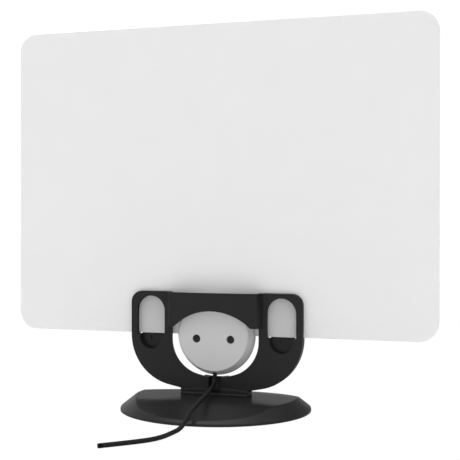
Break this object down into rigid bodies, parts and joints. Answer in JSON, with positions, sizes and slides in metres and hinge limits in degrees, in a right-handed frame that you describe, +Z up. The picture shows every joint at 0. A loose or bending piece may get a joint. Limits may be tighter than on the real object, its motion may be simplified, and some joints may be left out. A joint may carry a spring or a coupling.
{
  "type": "flat indoor tv antenna",
  "caption": "Thin rectangular white antenna panel held upright in a black stand with an oval base; a round grey junction box at its lower edge feeds a thin black coax lead.",
  "frame": {"origin": "on the table, under the middle of the stand's oval base, at the undersides of the foot pads", "axes": "+X along the panel, to the right as seen from the back; +Y towards the panel's front, away from the junction box; +Z up"},
  "size_m": [0.31, 0.2005, 0.2721],
  "materials": {
    "black_plastic": "fine satin moulding, slightly glossy",
    "pad_rubber": "matte",
    "panel_plastic": "smooth matte white sheet",
    "foil": "plain foil",
    "grey_plastic": "smooth matte moulding",
    "screw_steel": "dark plated",
    "board": "green laminate",
    "ferrite": "dark sintered",
    "spring_bronze": "plain spring strip",
    "crimp_metal": "plain ring",
    "insulation": "pale insulation",
    "lead_jacket": "smooth black jacket"
  },
  "bodies": {
    "root": {"stand_base": "black_plastic", "stand_upright": "black_plastic", "foot_pad_back_left": "pad_rubber", "foot_pad_back_right": "pad_rubber", "foot_pad_front_left": "pad_rubber", "foot_pad_front_right": "pad_rubber", "panel_rear_sheet": "panel_plastic", "panel_front_sheet": "panel_plastic", "foil_left": "foil", "foil_right": "foil", "box_rear_cover": "grey_plastic", "box_front_cover": "grey_plastic", "box_screw_left": "screw_steel", "box_screw_right": "screw_steel", "matching_board": "board", "balun_core": "ferrite", "contact_left": "spring_bronze", "contact_right": "spring_bronze", "lead_crimp": "crimp_metal", "lead_core": "insulation", "coax_lead": "lead_jacket"}
  },
  "joints": []
}
